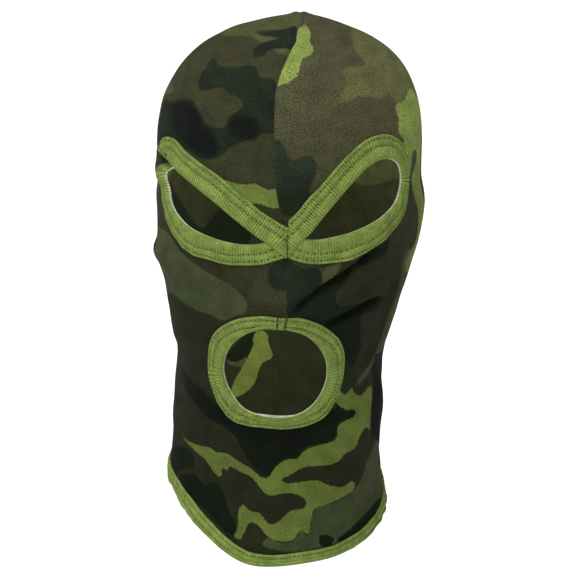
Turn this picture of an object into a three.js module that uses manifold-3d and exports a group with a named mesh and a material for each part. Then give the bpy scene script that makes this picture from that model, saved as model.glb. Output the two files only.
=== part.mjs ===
// A three-hole jersey balaclava, opened out as it sits on a head.
//
// Millimetres, +Z up. The wearer looks along -Y, so the wearer's left is +X. The origin is on the
// inside of the crown, where the top of the head meets the fabric, and everything hangs below it.
//
// The hood is one tube of printed jersey. A long seam shapes it, from the mouth over the nose, the
// forehead and the crown to the nape, and an overlock thread closes that seam. Folded strips of
// plain jersey bind both eye holes, the mouth hole and the hem. Each is held by a cover stitch: two
// needle threads outside and a looper thread inside.

import * as THREE from 'three';
import { mergeVertices } from 'three/addons/utils/BufferGeometryUtils.js';
import Module from 'manifold-3d';

const wasm = await Module();
wasm.setup();

// Driving dimensions.
const FABRIC = 1.0; // thickness of the printed jersey
const SQUARENESS = 0.92; // below 1, the hood's sections are a little fuller than an ellipse
const STRIP = 0.9; // thickness of one layer of binding
const GAP = 0.3; // clearance between pieces that touch
const EDGE = 2.5; // from a finished edge to the raw edge of the jersey inside the binding
const EYE_BAND = 13; // width of the eye bindings
const MOUTH_BAND = 10.5;
const HEM_BAND = 10;
const THREAD = 0.6; // width of a sewing thread
const SEAM_WIDTH = 5; // overlocked seam edge, lying flat inside
const SEAM_HEIGHT = 1.4;
const SEAM_GAP = 1.5; // keeps the straight facets of the seam clear of the curved jersey
const STITCH_INSET = 2; // from the strip's outer edge to the first row of stitches
const STITCH_GAUGE = 4; // between the two rows
const FOLD_EDGE = 0.2; // the folded edge is not quite sharp
const FLAT_RADIUS = 85; // turns an azimuth into a distance across the flat pattern
const PUNCH_REACH = 25; // how far a hole's punch reaches inside and outside the hood
const BLOCK = 300; // a cutting block, larger than the hood's half
const SKIN = { outside: GAP + STRIP, inside: -FABRIC - GAP - STRIP };

const AROUND = 40; // facets round the hood
const DOWN = 22; // facets from the crown to the hem
const EYE_POINTS = 16; // along the upper and the lower edge of an eye hole
const MOUTH_POINTS = 26;
const FAN_STEP = 0.5; // radians between the directions at a sharp corner

// The form that the jersey takes, from the crown down. Each station holds the share of the way
// down, then the depth below the crown, the half width, the reach to the front and to the back,
// and how far the hood's middle has drifted to the side.
const STATIONS = [
  [0.0, 0, 0, 0, 0, 3],
  [0.05, 4, 20, 20, 22, 2],
  [0.12, 12, 42, 44, 47, 1],
  [0.2, 26, 61, 67, 70, 0.5],
  [0.28, 47, 73, 83, 87, 0],
  [0.36, 72, 79, 92, 96, 0],
  [0.44, 98, 80, 96, 99, 0],
  [0.52, 124, 79, 97, 97, 0],
  [0.6, 150, 75, 95, 90, -0.5],
  [0.68, 176, 67, 91, 81, -1.5],
  [0.76, 203, 61.5, 84, 73, -2],
  [0.84, 232, 62, 74, 68, -2],
  [0.92, 262, 63.5, 67, 67, -2],
  [1.0, 295, 66, 68, 70, -2],
  [1.1, 335, 67, 72, 73, -2],
];
const LOWEST = STATIONS.at(-1)[0];

// The fabric stands off over the nose.
const NOSE = { depth: 150, height: 22, width: 18, reach: 6 };

// The hem's depth below the crown at azimuths round the hood, in degrees from the face.
const HEM = [
  [-180, 278],
  [-130, 277],
  [-90, 280],
  [-60, 289],
  [-35, 303],
  [-10, 315],
  [15, 313],
  [45, 308],
  [70, 301],
  [90, 293],
  [130, 283],
  [180, 278],
];

// The holes' finished edges in the front elevation, as (x, z) below the crown. The eye holes are
// teardrops whose points lie beside the nose; the first point of each is that point.
const LEFT_EYE = {
  upper: [[8, -116], [16, -107], [30, -91], [43, -77], [53, -72.5], [61, -75], [64.5, -84]],
  lower: [[64.5, -84], [62, -96], [54, -104], [40, -110], [24, -114.5], [8, -116]],
};
const RIGHT_EYE = {
  upper: [[-9, -120.5], [-28, -107], [-45, -95.5], [-61, -86.5], [-69, -83], [-71.5, -89]],
  lower: [[-71.5, -89], [-68.5, -101], [-61, -112.5], [-47, -118.5], [-28, -120.5], [-9, -120.5]],
};
const MOUTH = [
  [-3, -167], [10, -170], [21.5, -181], [25, -195], [20, -212], [7, -221], [-10, -221.5],
  [-25, -215.5], [-33, -201], [-32, -187], [-22, -173],
];

// The long seam, as the side of the hood, the depth below the crown, and how many layers of
// binding lie between it and the jersey.
const SEAM_STOPS = [
  ['front', 154, 0.3],
  ['front', 145, 0],
  ['front', 136, 1.2],
  ['front', 126, 1.8],
  ['front', 114, 1.8],
  ['front', 104, 1.2],
  ['front', 92, 0],
  ['front', 66, 0],
  ['front', 40, 0],
  ['front', 20, 0],
  ['front', 9, 0],
  ['front', 2.5, 0],
  ['front', 0, 0],
  ['back', 2.5, 0],
  ['back', 9, 0],
  ['back', 20, 0],
  ['back', 40, 0],
  ['back', 70, 0],
  ['back', 110, 0],
  ['back', 150, 0],
  ['back', 185, 0],
];

// A smooth curve through (xs, ys), at x.
function through(xs, ys, x) {
  const last = xs.length - 1;
  const slope = (i) => {
    const a = Math.max(0, i - 1);
    const b = Math.min(last, i + 1);
    return (ys[b] - ys[a]) / (xs[b] - xs[a]);
  };
  let i = 0;
  while (i < last - 1 && x > xs[i + 1]) i += 1;
  const step = xs[i + 1] - xs[i];
  const u = (x - xs[i]) / step;
  const rise = ys[i + 1] - ys[i];
  const [s0, s1] = [slope(i) * step, slope(i + 1) * step];
  return ys[i] + u * (s0 + u * (3 * rise - 2 * s0 - s1 + u * (s0 + s1 - 2 * rise)));
}

const columns = STATIONS[0].map((_, k) => STATIONS.map((station) => station[k]));
const station = (k, t) => through(columns[0], columns[k], t);
const depthAt = (t) => station(1, t);

// The share of the way down at a depth below the crown.
function shareAt(depth) {
  let [low, high] = [0, LOWEST];
  for (let i = 0; i < 30; i += 1) {
    const middle = (low + high) / 2;
    if (depthAt(middle) < depth) low = middle;
    else high = middle;
  }
  return (low + high) / 2;
}

const shareAtHeight = (z) => shareAt(FABRIC - z);

const hemDepth = (azimuth) => {
  const degrees = THREE.MathUtils.radToDeg(azimuth);
  return through(HEM.map((p) => p[0]), HEM.map((p) => p[1]), degrees);
};

const fuller = (v) => Math.sign(v) * Math.abs(v) ** SQUARENESS;
const unfuller = (v) => Math.sign(v) * Math.abs(v) ** (1 / SQUARENESS);

// A point on the outside of the jersey.
function formPoint(azimuth, t) {
  const [depth, halfWidth, front, back, drift] = [1, 2, 3, 4, 5].map((k) => station(k, t));
  const [across, ahead] = [fuller(Math.sin(azimuth)), fuller(Math.cos(azimuth))];
  const x = halfWidth * across;
  const onNose = Math.exp(-((x / NOSE.width) ** 2) - ((depth - NOSE.depth) / NOSE.height) ** 2);
  const reach = ahead > 0 ? front + NOSE.reach * onNose : back;
  return new THREE.Vector3(drift + x, -reach * ahead, FABRIC - depth);
}

// A point that far outside the jersey's outer surface, or inside it if offset is negative.
function hoodPoint(azimuth, t, offset) {
  const point = formPoint(azimuth, t);
  const step = 0.002;
  if (t < step) return point.add(new THREE.Vector3(0, 0, offset));
  const down = formPoint(azimuth, t + step).sub(formPoint(azimuth, t - step));
  const round = formPoint(azimuth + step, t).sub(formPoint(azimuth - step, t));
  return point.addScaledVector(down.cross(round).normalize(), offset);
}

// Where a point of the front elevation lies on the flat pattern: x turns into a distance round.
function flatten([x, z]) {
  const t = shareAtHeight(z);
  const azimuth = Math.asin(unfuller((x - station(5, t)) / station(2, t)));
  return new THREE.Vector2(azimuth * FLAT_RADIUS, z);
}

function solidOf(geometry) {
  const bare = geometry.clone();
  bare.deleteAttribute('normal');
  bare.deleteAttribute('uv');
  const merged = mergeVertices(bare, 1e-4);
  return new wasm.Manifold(
    new wasm.Mesh({
      numProp: 3,
      vertProperties: merged.attributes.position.array,
      triVerts: new Uint32Array(merged.index.array),
    }),
  );
}

function geometryOf(solid) {
  const mesh = solid.getMesh();
  return new THREE.BufferGeometry()
    .setAttribute('position', new THREE.BufferAttribute(mesh.vertProperties, 3))
    .setIndex(new THREE.BufferAttribute(mesh.triVerts, 1))
    .toNonIndexed();
}

// A ring with one cross-section of points for each facet round it.
function ringOf(sections) {
  const count = sections[0].length;
  const profile = sections[0].map((_, j) => new THREE.Vector2(1, j));
  const geometry = new THREE.LatheGeometry(profile, sections.length);
  const position = geometry.attributes.position;
  for (let i = 0; i <= sections.length; i += 1) {
    sections[i % sections.length].forEach((p, j) => {
      position.setXYZ(i * count + j, p.x, p.y, p.z);
    });
  }
  return geometry;
}

const azimuths = Array.from({ length: AROUND }, (_, i) => (2 * Math.PI * i) / AROUND - Math.PI);

// The jersey as a dome with no holes, made thicker all over by grow.
function dome(grow) {
  const rows = Array.from({ length: DOWN + 1 }, (_, j) => j / DOWN);
  return solidOf(ringOf(azimuths.map((azimuth) => {
    const rawEdge = shareAt(hemDepth(azimuth) - EDGE + grow);
    const face = (offset) => rows.map((u) => hoodPoint(azimuth, u * rawEdge, offset));
    return [...face(-FABRIC - grow), ...face(grow).reverse()];
  })));
}

const anticlockwise = (loop) => (THREE.ShapeUtils.isClockWise(loop) ? loop.reverse() : loop);

// An eye hole's finished edge on the flat pattern.
function eyeLoop({ upper, lower }) {
  const curve = (points) => new THREE.SplineCurve(points.map(flatten));
  const path = [upper, lower].flatMap((points) => (
    curve(points).getSpacedPoints(EYE_POINTS).slice(0, -1)
  ));
  return anticlockwise(path);
}

function mouthLoop() {
  const points = MOUTH.map(flatten);
  const curve = new THREE.SplineCurve([...points, points[0]]);
  return anticlockwise(curve.getSpacedPoints(MOUTH_POINTS).slice(0, -1));
}

// The points of a loop, each with its direction away from the hole. A sharp corner has several.
function cornersOf(loop) {
  return loop.flatMap((point, i) => {
    const before = point.clone().sub(loop.at(i - 1)).angle();
    const after = loop[(i + 1) % loop.length].clone().sub(point).angle();
    const turn = THREE.MathUtils.euclideanModulo(after - before + Math.PI, 2 * Math.PI) - Math.PI;
    const steps = turn > FAN_STEP ? Math.ceil(turn / FAN_STEP) : 0;
    const angles = steps
      ? Array.from({ length: steps + 1 }, (_, k) => before + (turn * k) / steps)
      : [before + turn / 2];
    return angles.map((a) => ({ point, away: new THREE.Vector2(Math.sin(a), -Math.cos(a)) }));
  });
}

const moved = ({ point, away }, distance) => point.clone().addScaledVector(away, distance);
const widened = (loop, distance) => cornersOf(loop).map((corner) => moved(corner, distance));

// A rim is a list of functions, one for each place round a finished edge. Each turns a distance
// from that edge and an offset from the jersey's outer face into a point.
const holeRim = (loop) => cornersOf(loop).map((corner) => (distance, offset) => {
  const flat = moved(corner, distance);
  return hoodPoint(flat.x / FLAT_RADIUS, shareAtHeight(flat.y), offset);
});
const hemRim = azimuths.toReversed().map((azimuth) => (distance, offset) => (
  hoodPoint(azimuth, shareAt(hemDepth(azimuth) - distance), offset)
));

// A strip that follows a rim between two distances from it and two offsets.
function strip(rim, near, far, inside, outside) {
  return solidOf(ringOf(rim.map((at) => [
    at(far, outside), at(near, outside), at(near, inside), at(far, inside), at(far, outside),
  ])));
}

// A punch through every layer, in the shape of a loop.
function punch(loop) {
  const shape = new THREE.Shape(loop);
  const geometry = new THREE.ExtrudeGeometry(shape, { depth: 2 * PUNCH_REACH, bevelEnabled: false });
  const position = geometry.attributes.position;
  for (let i = 0; i < position.count; i += 1) {
    const [across, up, out] = [position.getX(i), position.getY(i), position.getZ(i)];
    const p = hoodPoint(across / FLAT_RADIUS, shareAtHeight(up), out - PUNCH_REACH);
    position.setXYZ(i, p.x, p.y, p.z);
  }
  return solidOf(geometry);
}

// Cuts away what lies past the middle seam, which catches the ends of each eye's strips.
function endedAtSeam(solid, side) {
  if (side === 0) return solid;
  const block = new THREE.BoxGeometry(BLOCK, BLOCK, BLOCK);
  block.translate(side * (GAP - BLOCK / 2), -BLOCK / 2, -BLOCK / 2);
  return solid.subtract(solidOf(block));
}

// The overlocked edges of the long seam, lying flat inside the hood from the mouth to the nape.
function seamOverlock() {
  const path = new THREE.CatmullRomCurve3(SEAM_STOPS.map(([side, depth, layers]) => {
    const azimuth = side === 'front' ? 0 : Math.PI;
    const clearance = SEAM_GAP + layers * (STRIP + GAP) + SEAM_HEIGHT / 2;
    return hoodPoint(azimuth, shareAt(depth), -FABRIC - clearance);
  }));
  const [w, h] = [SEAM_WIDTH / 2, SEAM_HEIGHT / 2];
  const section = new THREE.Shape(
    [[-w, -h], [w, -h], [w, h], [-w, h]].map(([x, y]) => new THREE.Vector2(x, y)),
  );
  return new THREE.ExtrudeGeometry(section, {
    steps: 3 * SEAM_STOPS.length, extrudePath: path, bevelEnabled: false,
  });
}

const jerseyColour = new THREE.Color(0.07, 0.065, 0.03);
const bindingColour = new THREE.Color(0.2, 0.31, 0.06);
const threadColour = new THREE.Color(0.3, 0.42, 0.1);
const cloth = (color) => new THREE.MeshStandardMaterial({ color, roughness: 0.95, metalness: 0 });
const jersey = cloth(jerseyColour);
const binding = cloth(bindingColour);
const thread = cloth(threadColour);

const hood = new THREE.Group();

function add(name, shape, material) {
  const geometry = shape.isBufferGeometry ? shape : geometryOf(shape);
  const mesh = new THREE.Mesh(geometry, material);
  mesh.name = name;
  hood.add(mesh);
}

const slotAt = (loop) => dome(GAP).subtract(punch(widened(loop, EDGE - GAP)));
const holeTrim = (loop, band, side) => ({
  rim: holeRim(loop), slot: slotAt(loop), cut: punch(widened(loop, EDGE)), band, side,
});
const trims = {
  left_eye: holeTrim(eyeLoop(LEFT_EYE), EYE_BAND, 1),
  right_eye: holeTrim(eyeLoop(RIGHT_EYE), EYE_BAND, -1),
  mouth: holeTrim(mouthLoop(), MOUTH_BAND, 0),
  hem: { rim: hemRim, slot: dome(GAP), band: HEM_BAND, side: 0 },
};

let panel = dome(0);
for (const { cut } of Object.values(trims)) {
  if (cut) panel = panel.subtract(cut);
}
add('hood_panel', panel, jersey);
add('seam_overlock', seamOverlock(), thread);

// Each folded strip takes the jersey's raw edge between its layers, and its three threads lie on it.
for (const [name, { rim, slot, band, side }] of Object.entries(trims)) {
  const lay = (piece, near, far, inside, outside, material, cut) => {
    const solid = strip(rim, near, far, inside, outside);
    add(`${name}_${piece}`, endedAtSeam(cut ? solid.subtract(cut) : solid, side), material);
  };
  lay('binding', FOLD_EDGE, band, SKIN.inside, SKIN.outside, binding, slot);
  const sew = (piece, inset, low) => {
    const middle = band - inset;
    lay(piece, middle - THREAD / 2, middle + THREAD / 2, low, low + THREAD, thread);
  };
  sew('outer_stitch', STITCH_INSET, SKIN.outside + GAP);
  sew('inner_stitch', STITCH_INSET + STITCH_GAUGE, SKIN.outside + GAP);
  sew('looper_thread', STITCH_INSET + STITCH_GAUGE / 2, SKIN.inside - 2 * GAP - THREAD);
}

export default hood;
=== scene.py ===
# A three-hole balaclava in printed camouflage jersey, in the shape that a head stretches it to.
# Lengths are millimetres until a mesh is made. +Z is up, and the wearer looks along -Y. Left and right are
# the wearer's, so left is +X.
import math

import bmesh
import bpy
import numpy as np
from mathutils import Matrix, Vector


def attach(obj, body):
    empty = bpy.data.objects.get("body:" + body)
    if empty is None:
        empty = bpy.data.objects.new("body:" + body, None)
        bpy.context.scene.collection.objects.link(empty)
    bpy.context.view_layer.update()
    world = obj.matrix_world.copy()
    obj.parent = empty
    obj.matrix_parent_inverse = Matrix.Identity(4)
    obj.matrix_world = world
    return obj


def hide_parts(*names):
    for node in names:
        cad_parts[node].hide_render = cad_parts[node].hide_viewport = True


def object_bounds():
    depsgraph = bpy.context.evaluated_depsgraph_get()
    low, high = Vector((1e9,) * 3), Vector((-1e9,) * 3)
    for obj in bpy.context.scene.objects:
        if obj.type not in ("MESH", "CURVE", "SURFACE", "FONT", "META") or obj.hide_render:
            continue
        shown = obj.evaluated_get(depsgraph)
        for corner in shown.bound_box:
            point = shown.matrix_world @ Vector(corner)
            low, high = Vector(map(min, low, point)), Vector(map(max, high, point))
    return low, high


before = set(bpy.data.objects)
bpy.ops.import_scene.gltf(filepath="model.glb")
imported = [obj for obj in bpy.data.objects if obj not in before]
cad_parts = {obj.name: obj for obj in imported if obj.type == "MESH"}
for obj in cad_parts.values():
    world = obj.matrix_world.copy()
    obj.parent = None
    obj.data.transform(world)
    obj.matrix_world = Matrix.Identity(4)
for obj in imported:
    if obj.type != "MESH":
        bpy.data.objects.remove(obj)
cad_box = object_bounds()

MM = 0.001

# ---------------------------------------------------------------- camera

CAMERA_ELEVATION = math.radians(12)
CAMERA_ROLL = math.radians(2)
CAMERA_DISTANCE = 1300
CAMERA_AIM = Vector((2.7, 0, -164))
FIELD_WIDTH = 348  # what the picture's width covers at the aim
SENSOR = 36


def make_camera():
    data = bpy.data.cameras.new("camera")
    data.sensor_width = SENSOR
    data.lens = SENSOR * CAMERA_DISTANCE / FIELD_WIDTH
    camera = bpy.data.objects.new("camera", data)
    bpy.context.scene.collection.objects.link(camera)
    backward = Vector((0, -math.cos(CAMERA_ELEVATION), math.sin(CAMERA_ELEVATION)))
    right = Vector((1, 0, 0))
    up = backward.cross(right)
    turn = Matrix.Rotation(CAMERA_ROLL, 3, backward)
    axes = Matrix((turn @ right, turn @ up, backward)).transposed()
    place = CAMERA_AIM + CAMERA_DISTANCE * backward
    camera.matrix_world = Matrix.Translation(place * MM) @ axes.to_4x4()
    bpy.context.scene.camera = camera


make_camera()

# ---------------------------------------------------------------- the hood's form

FABRIC = 1.0
SQUARENESS = 0.92
FLAT_RADIUS = 85  # turns an azimuth into a distance across the flat pattern
EDGE = 2.5  # from a finished edge to the raw edge of the jersey inside the binding

# Share of the way down, depth below the crown, half width, reach to the front and the back, sideways drift.
STATIONS = np.array([
    [0.00, 0, 0, 0, 0, 3],
    [0.05, 4, 20, 20, 22, 2],
    [0.12, 12, 42, 44, 47, 1],
    [0.20, 26, 61, 67, 70, 0.5],
    [0.28, 47, 73, 83, 87, 0],
    [0.36, 72, 79, 92, 96, 0],
    [0.44, 98, 80, 96, 99, 0],
    [0.52, 124, 79, 97, 97, 0],
    [0.60, 150, 75, 95, 90, -0.5],
    [0.68, 176, 67, 91, 81, -1.5],
    [0.76, 203, 61.5, 84, 73, -2],
    [0.84, 232, 62, 74, 68, -2],
    [0.92, 262, 63.5, 67, 67, -2],
    [1.00, 295, 66, 68, 70, -2],
    [1.10, 335, 67, 72, 73, -2],
])
NOSE_DEPTH, NOSE_HEIGHT, NOSE_WIDTH, NOSE_REACH = 150, 22, 18, 6

# The hem's depth below the crown and its binding's width, at azimuths round the hood.
HEM = np.array([
    [-180, 278, 9.5], [-130, 277, 9.5], [-90, 280, 9.5], [-60, 287.5, 9.5], [-35, 301.5, 9], [-10, 315, 7.5],
    [15, 313, 7], [45, 308, 7.5], [70, 301, 8.5], [90, 293, 9.5], [130, 283, 9.5], [180, 278, 9.5],
])

# The front of the long seam, as (x, z), from the crown to the mouth.
SEAM = np.array([
    (7, 1), (6, -1), (5.2, -2.8), (2.2, -5.2), (1.4, -8), (1.1, -11), (-0.8, -14), (-6.5, -26), (-9, -36),
    (-9, -58), (-8, -77), (-5, -96), (-1, -108), (0.5, -116), (0.5, -128), (0, -143), (-1, -155), (0, -168),
    (0, -190),
])
SEAM_STRAIGHT, SEAM_SWAYED = 0.02, 0.1  # between these shares the seam leaves the middle of the crown
MOUTH_TOP = -160
NAPE_DEPTH = 185  # where the seam ends at the back


def unit(vectors):
    return vectors / np.linalg.norm(vectors, axis=-1, keepdims=True)


def through(xs, ys, x):
    """A smooth curve through (xs, ys), at x. ys may have several columns."""
    xs, ys = np.asarray(xs, float), np.asarray(ys, float)
    flat = ys.ndim == 1
    ys = ys.reshape(len(xs), -1)
    slopes = np.empty_like(ys)
    slopes[1:-1] = (ys[2:] - ys[:-2]) / (xs[2:] - xs[:-2])[:, None]
    slopes[0] = (ys[1] - ys[0]) / (xs[1] - xs[0])
    slopes[-1] = (ys[-1] - ys[-2]) / (xs[-1] - xs[-2])
    i = np.clip(np.searchsorted(xs, x, side="right") - 1, 0, len(xs) - 2)
    step = (xs[i + 1] - xs[i])[..., None]
    u = (x - xs[i])[..., None] / step
    rise = ys[i + 1] - ys[i]
    before, after = slopes[i] * step, slopes[i + 1] * step
    y = ys[i] + u * (before + u * (3 * rise - 2 * before - after + u * (before + after - 2 * rise)))
    return y[..., 0] if flat else y


SHARES = np.linspace(0, STATIONS[-1, 0], 2201)
PROFILE = through(STATIONS[:, 0], STATIONS[:, 1:], SHARES)
DEPTH, HALF_WIDTH, FRONT, BACK, DRIFT = range(5)


def station(column, share):
    return np.interp(share, SHARES, PROFILE[:, column])


def share_at(depth):
    return np.interp(depth, PROFILE[:, DEPTH], SHARES)


def fuller(v, power=SQUARENESS):
    return np.sign(v) * np.abs(v) ** power


def smoothstep(v, low, high):
    u = np.clip((v - low) / (high - low), 0, 1)
    return u * u * (3 - 2 * u)


def mix(a, b, share):
    return a + (b - a) * share


def hem_depth(azimuth):
    return through(HEM[:, 0], HEM[:, 1], np.degrees(azimuth))


def form_point(azimuth, share):
    """A point on the outside of the jersey before folds and creases."""
    across, ahead = fuller(np.sin(azimuth)), fuller(np.cos(azimuth))
    x = station(HALF_WIDTH, share) * across
    depth = station(DEPTH, share)
    nose = np.exp(-(x / NOSE_WIDTH) ** 2 - ((depth - NOSE_DEPTH) / NOSE_HEIGHT) ** 2)
    reach = np.where(ahead > 0, station(FRONT, share) + NOSE_REACH * nose, station(BACK, share))
    return np.stack([station(DRIFT, share) + x, -reach * ahead, FABRIC - depth], -1)


def azimuth_at(x, share):
    """The azimuth on the front where the hood's x is this."""
    across = np.clip((x - station(DRIFT, share)) / np.maximum(station(HALF_WIDTH, share), 1e-6), -1, 1)
    return np.arcsin(fuller(across, 1 / SQUARENESS))


def seam_x(z):
    return through(-SEAM[:, 1], SEAM[:, 0], np.clip(-z, -SEAM[0, 1], -SEAM[-1, 1]))


def seam_azimuth(share):
    """Where the long seam runs down the front."""
    azimuth = azimuth_at(seam_x(FABRIC - station(DEPTH, share)), share)
    return azimuth * smoothstep(share, SEAM_STRAIGHT, SEAM_SWAYED)


def flatten(x, z):
    """Where a point of the front elevation lies on the flat pattern."""
    return np.stack([azimuth_at(x, share_at(FABRIC - z)) * FLAT_RADIUS, z], -1)


# ---------------------------------------------------------------- curves and distances in a plane


def curve(points, step, closed=False):
    """A smooth curve through the points, with a vertex about every step millimetres."""
    points = np.array(points, float)
    if closed:
        points = np.vstack([points[-1:], points, points[:2]])
    stops = np.concatenate([[0], np.cumsum(np.linalg.norm(np.diff(points[:, :2], axis=0), axis=1))])
    start, end = (stops[1], stops[-2]) if closed else (stops[0], stops[-1])
    count = max(3, round((end - start) / step))
    return through(stops, points, np.linspace(start, end, count, endpoint=not closed))


def nearest(line, points, closed=True):
    """Each point's distance from a line, and the nearest point of the line."""
    a = line if closed else line[:-1]
    b = np.roll(line, -1, 0) if closed else line[1:]
    run = b - a
    rest = points[:, None] - a
    along = np.clip((rest * run).sum(-1) / (run * run).sum(-1), 0, 1)
    foot = a + along[..., None] * run
    gaps = np.linalg.norm(points[:, None] - foot, axis=-1)
    best = gaps.argmin(1)
    rows = np.arange(len(points))
    return gaps[rows, best], foot[rows, best]


def within(loop, points):
    """Whether each point is inside a closed loop."""
    a, b = loop, np.roll(loop, -1, 0)
    x, y = points[:, :1], points[:, 1:2]
    spans = (a[:, 1] > y) != (b[:, 1] > y)
    rise = np.where(a[:, 1] == b[:, 1], 1, b[:, 1] - a[:, 1])
    crossing = a[:, 0] + (y - a[:, 1]) * (b[:, 0] - a[:, 0]) / rise
    return (spans & (x < crossing)).sum(1) % 2 == 1


FAR = 12.0  # distances beyond this don't matter


def close_to(line, points, reach):
    """Whether each point is in a line's bounding box or at most that far outside it."""
    return ((points > line.min(0) - reach) & (points < line.max(0) + reach)).all(1)


def depth_inside(loop, points):
    """How far each point is inside a closed loop. It is negative outside, down to -FAR."""
    depth = np.full(len(points), -FAR)
    near = close_to(loop, points, FAR)
    if near.any():
        gap, _ = nearest(loop, points[near])
        depth[near] = np.where(within(loop, points[near]), gap, -np.minimum(gap, FAR))
    return depth


def waves(points, wavelength, seed, terms=28):
    """A smooth random field of unit strength whose bumps are about this far apart."""
    random = np.random.default_rng(seed)
    direction = unit(random.normal(size=(terms, points.shape[1])))
    pace = 2 * np.pi / (wavelength * random.uniform(0.7, 1.4, terms))
    phase = random.uniform(0, 2 * np.pi, terms)
    return np.cos(points @ (direction * pace[:, None]).T + phase).sum(1) * math.sqrt(2 / terms)


# ---------------------------------------------------------------- folds and creases

# Creases of the front in the elevation: the line, how far it stands proud, and its half width.
CREASES = [
    ([(3, -157), (19, -143.5), (36, -133), (52, -120)], -5.0, 1.4),
    ([(2, -149), (15, -138), (32, -127.5), (46, -117)], 2.0, 3.4),
    ([(8, -162), (26, -150), (42, -141), (58, -130)], 0.9, 3.0),
    ([(20, -166), (34, -159.5), (56, -151)], -4.0, 1.3),
    ([(18, -160), (34, -153), (54, -145)], 1.4, 3.0),
    ([(-6, -152), (-17, -143), (-30, -137)], -0.9, 1.6),
    ([(-12, -158), (-26, -149), (-40, -144)], -0.9, 1.6),
    ([(-24, -163), (-40, -155), (-54, -152)], -1.0, 2.0),
    ([(71, -136), (66, -150), (62, -172), (55, -188), (45, -203)], 1.8, 3.5),
    ([(66, -138), (60, -152), (55, -172), (48, -188)], -1.4, 3.5),
    ([(-60, -180), (-60, -215), (-61, -246), (-58, -268)], -1.6, 4.0),
    ([(53, -191), (55, -209), (54, -227), (54, -250)], -2.2, 2.5),
    ([(-66, -150), (-58, -170), (-52, -196)], 1.2, 5.0),
]
CREASE_LINES = [(curve(points, 3), height, width) for points, height, width in CREASES]
CREASE_REACH = 3  # how many half widths away a crease can still be felt
CREASE_ENDS = (-2, 10)  # how far from its ends it starts and is whole
# Where the corner of the right eye's binding is tucked back, in the front elevation.
POCKET, POCKET_DEPTH, POCKET_RADII = np.array([-74.8, -83.2]), 11, np.array([4.4, 2.9])
CREST, CREST_DEPTH, CREST_WIDTH = 1.1, 4, 13  # how the sewn layers stand up over the crown
SEAM_GROOVE, SEAM_GROOVE_WIDTH = 0.8, 0.8
SEAM_RIDGE, SEAM_RIDGE_WIDTH, SEAM_RIDGE_PLACE = 0.55, 1.8, 3.0
SEAM_FADE = 4  # over what length its ridge and groove begin
# Slow waves of the whole hood: their spacing, a seed, their height, and how much they gain where it is slack.
WAVES = [(70, 11, 0.25, 0.7), (24, 12, 0.08, 0.15)]
SLACK = (120, 230)  # the depths at which the jersey starts to be slack and is wholly so
# How far each side stands off the smooth form, as (z, distance): +1 is the wearer's left.
SIDE_EASE = {
    1: [
        (0, 0), (-6, 0.5), (-14, 1.8), (-25, 2.2), (-42, 1.8), (-57, 0), (-66, -1.2), (-77, -2.4),
        (-90, -2.2), (-100, 0), (-106, 0.6), (-126, -0.4), (-140, -1.8), (-170, -1.6), (-184, 0),
        (-214, 1.4), (-240, 0), (-262, -0.5), (-300, 0.8),
    ],
    -1: [
        (0, 0), (-4, 0.5), (-8, 0.8), (-14, 0.5), (-30, 0.8), (-48, 1.5), (-62, 0.2), (-77, -1.2),
        (-92, -0.6), (-97, -2), (-106, -1.2), (-126, -1.1), (-133, 0), (-139.5, 2.6), (-146, 0.5),
        (-156, -0.3), (-170, 1.8), (-187, 2.8), (-195, 1.6), (-205, 0.6), (-224, 1.4), (-240, 1.8),
        (-250, 0), (-269, -1.6), (-300, -1.8),
    ],
}
SIDE_FROM = 0.72  # the share of the half width at which a side begins


def relief(points, on_front):
    """How far folds, creases and the seam move each point of the form along its normal."""
    x, z = points[:, 0], points[:, 2]
    height = np.zeros(len(points))
    elevation = points[:, [0, 2]]
    for line, proud, width in CREASE_LINES:
        near = on_front & close_to(line, elevation, CREASE_REACH * width)
        if near.any():
            gap, foot = nearest(line, elevation[near], closed=False)
            ends = np.minimum(*(np.linalg.norm(foot - line[end], axis=1) for end in (0, -1)))
            height[near] += proud * np.exp(-(gap / width) ** 2) * smoothstep(ends, *CREASE_ENDS)
    slack = smoothstep(-z, *SLACK)
    for spacing, seed, steady, gain in WAVES:
        height += waves(points, spacing, seed) * (steady + gain * slack)
    centre = np.interp(FABRIC - z, PROFILE[:, DEPTH], PROFILE[:, DRIFT])
    outer_part = smoothstep(np.abs(x - centre) / station(HALF_WIDTH, share_at(FABRIC - z)), SIDE_FROM, 1)
    for side, stops in SIDE_EASE.items():
        heights, eases = np.array(stops).T
        height += through(-heights, eases, -z) * outer_part * ((x - centre) * side > 0)
    height += CREST * np.exp(z / CREST_DEPTH - ((x - SEAM[0, 0]) / CREST_WIDTH) ** 2)
    height -= on_front * POCKET_DEPTH * np.exp(-(((elevation - POCKET) / POCKET_RADII) ** 2).sum(1))
    end = np.where(on_front, MOUTH_TOP, -NAPE_DEPTH - SEAM_FADE)
    sewn = smoothstep(z - end, 0, SEAM_FADE)
    aside = x - np.where(on_front, seam_x(z), centre)
    height += sewn * SEAM_RIDGE * np.exp(-((np.abs(aside) - SEAM_RIDGE_PLACE) / SEAM_RIDGE_WIDTH) ** 2)
    height -= sewn * SEAM_GROOVE * np.exp(-(aside / SEAM_GROOVE_WIDTH) ** 2)
    return height


PROBE = 0.002  # the step of azimuth and share over which the form's slope is measured


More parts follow.
